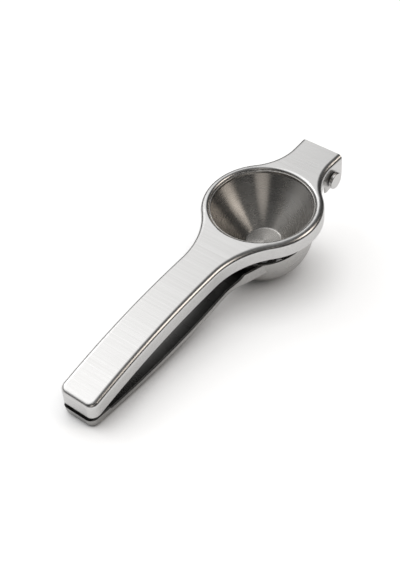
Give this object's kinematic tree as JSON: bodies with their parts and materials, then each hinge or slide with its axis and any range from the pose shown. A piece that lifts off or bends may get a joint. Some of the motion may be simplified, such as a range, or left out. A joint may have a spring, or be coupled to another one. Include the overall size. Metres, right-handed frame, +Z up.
{
  "type": "hinged lemon squeezer",
  "caption": "Hand press for half a lemon: two hinged sheet-metal levers, an open press bowl over a strainer cup with drain holes, stored closed.",
  "frame": {"origin": "middle of the footprint, on the table that the closed tool lies on", "axes": "+Z up, +Y along the tool towards the hinge, handle ends at -Y, +X towards the pin's head"},
  "size_m": [0.0668, 0.2074, 0.0488],
  "materials": {
    "lever_sheet": "satin, brushed across the lever",
    "spun_bowl": "satin, spun",
    "strainer_steel": "satin, spun",
    "channel_steel": "satin",
    "pin_steel": "turned"
  },
  "bodies": {
    "strainer_side": {"strainer_cup": "strainer_steel", "strainer_handle": "channel_steel", "hinge_bracket": "channel_steel", "hinge_pin": "pin_steel", "pin_cap": "pin_steel"},
    "press_side": {"press_lever": "lever_sheet", "press_cup": "spun_bowl"}
  },
  "joints": [
    {"name": "lever_hinge", "type": "hinge", "parent": "strainer_side", "child": "press_side", "pos_m": [0, 0.09413, 0.03687], "axis": [-1, 0, 0], "range_deg": [0, 120]}
  ]
}
